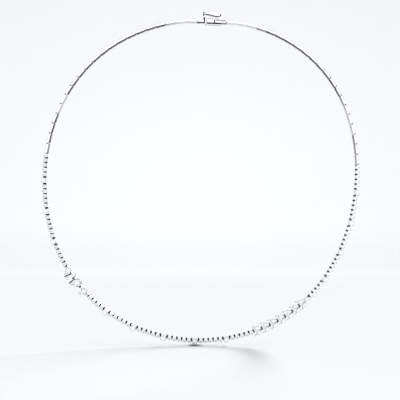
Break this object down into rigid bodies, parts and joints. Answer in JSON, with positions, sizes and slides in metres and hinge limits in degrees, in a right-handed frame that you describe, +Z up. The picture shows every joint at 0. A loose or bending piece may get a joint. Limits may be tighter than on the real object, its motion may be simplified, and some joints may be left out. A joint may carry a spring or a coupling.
{
  "type": "necklace",
  "caption": "Closed line necklace of hinged bar links and claw-set round stones, with a leafy spray, a pear-stone cluster and a box clasp with a hinged safety catch.",
  "frame": {"origin": "middle of the clasp box's inner side, where the closed necklace rests on the nape", "axes": "+Z up from the front stones to the clasp; -Y the way the stones face; +X to the right as seen from the front"},
  "size_m": [0.1347, 0.0046, 0.14],
  "materials": {
    "white_metal": "polished",
    "clear_stone": "faceted"
  },
  "bodies": {
    "necklace": {"clasp_housing": "white_metal", "clasp_tongue": "white_metal", "bars_right": "white_metal", "bars_left": "white_metal", "settings_right": "white_metal", "settings_front": "white_metal", "settings_left": "white_metal", "small_stones_right": "clear_stone", "small_stones_front": "clear_stone", "small_stones_left": "clear_stone", "large_stone_1": "clear_stone", "large_stone_2": "clear_stone", "large_stone_3": "clear_stone", "large_stone_4": "clear_stone", "large_stone_5": "clear_stone", "large_stone_6": "clear_stone", "large_stone_7": "clear_stone", "large_stone_8": "clear_stone", "large_stone_9": "clear_stone", "large_stone_10": "clear_stone", "large_stone_11": "clear_stone", "large_stone_12": "clear_stone", "cluster_setting_round": "white_metal", "cluster_setting_low": "white_metal", "cluster_setting_high": "white_metal", "cluster_round_stone": "clear_stone", "cluster_low_pear": "clear_stone", "cluster_high_pear": "clear_stone", "cluster_accent_stones": "clear_stone", "spray_setting_1": "white_metal", "spray_setting_2": "white_metal", "spray_setting_3": "white_metal", "spray_setting_4": "white_metal", "spray_setting_5": "white_metal", "spray_setting_6": "white_metal", "spray_setting_7": "white_metal", "spray_outer_leaves": "clear_stone", "spray_inner_leaves": "clear_stone"},
    "safety_catch": {"safety_catch": "white_metal"}
  },
  "joints": [
    {"name": "catch_hinge", "type": "hinge", "parent": "necklace", "child": "safety_catch", "pos_m": [0.00379, 0.00029, 0.00371], "axis": [-0.0051, 0.9903, -0.1391], "range_deg": [0, 110]}
  ]
}
